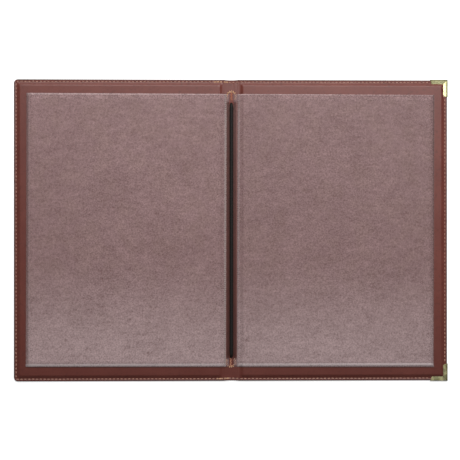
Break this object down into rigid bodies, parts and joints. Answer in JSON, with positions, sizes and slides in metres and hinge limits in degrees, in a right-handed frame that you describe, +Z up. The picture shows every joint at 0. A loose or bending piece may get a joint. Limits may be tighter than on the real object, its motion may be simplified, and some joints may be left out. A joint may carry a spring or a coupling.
{
  "type": "menu cover",
  "caption": "Stitched leatherette menu cover lying open, with a clear double pocket insert held by a black elastic cord and metal corners on one cover.",
  "frame": {"origin": "on the table under the middle of the spine of the open cover", "axes": "+X across the open cover towards the cover with the metal corners, +Y up the page, +Z up from the table"},
  "size_m": [0.4772, 0.3326, 0.006],
  "materials": {
    "leatherette": "fine-grained reddish brown leatherette with a low sheen, sewn with tan thread",
    "greyboard": "plain grey stiffening board",
    "clear_film": "clear soft film with a faint haze and ripples",
    "welded_film": "clear film, welded and finely ribbed",
    "elastic": "black braided elastic cord",
    "brass": "polished pressed sheet with rounded edges"
  },
  "bodies": {
    "right_cover": {"right_skin": "leatherette", "right_lining": "leatherette", "right_board": "greyboard", "right_back_film": "clear_film", "right_front_film": "clear_film", "right_outer_seam": "welded_film", "right_bottom_seam": "welded_film", "top_metal_corner": "brass", "bottom_metal_corner": "brass"},
    "spine": {"spine_skin": "leatherette", "spine_lining": "leatherette", "insert_fold": "clear_film", "right_gutter_seam": "welded_film", "left_gutter_seam": "welded_film", "elastic_cord": "elastic"},
    "left_cover": {"left_skin": "leatherette", "left_lining": "leatherette", "left_board": "greyboard", "left_back_film": "clear_film", "left_front_film": "clear_film", "left_outer_seam": "welded_film", "left_bottom_seam": "welded_film"}
  },
  "joints": [
    {"name": "spine_fold", "type": "hinge", "parent": "right_cover", "child": "spine", "pos_m": [0.0088, 0, 0.0018], "axis": [0, 1, 0], "range_deg": [0, 90]},
    {"name": "left_cover_fold", "type": "hinge", "parent": "spine", "child": "left_cover", "pos_m": [-0.0088, 0, 0.0018], "axis": [0, 1, 0], "range_deg": [0, 90]}
  ]
}
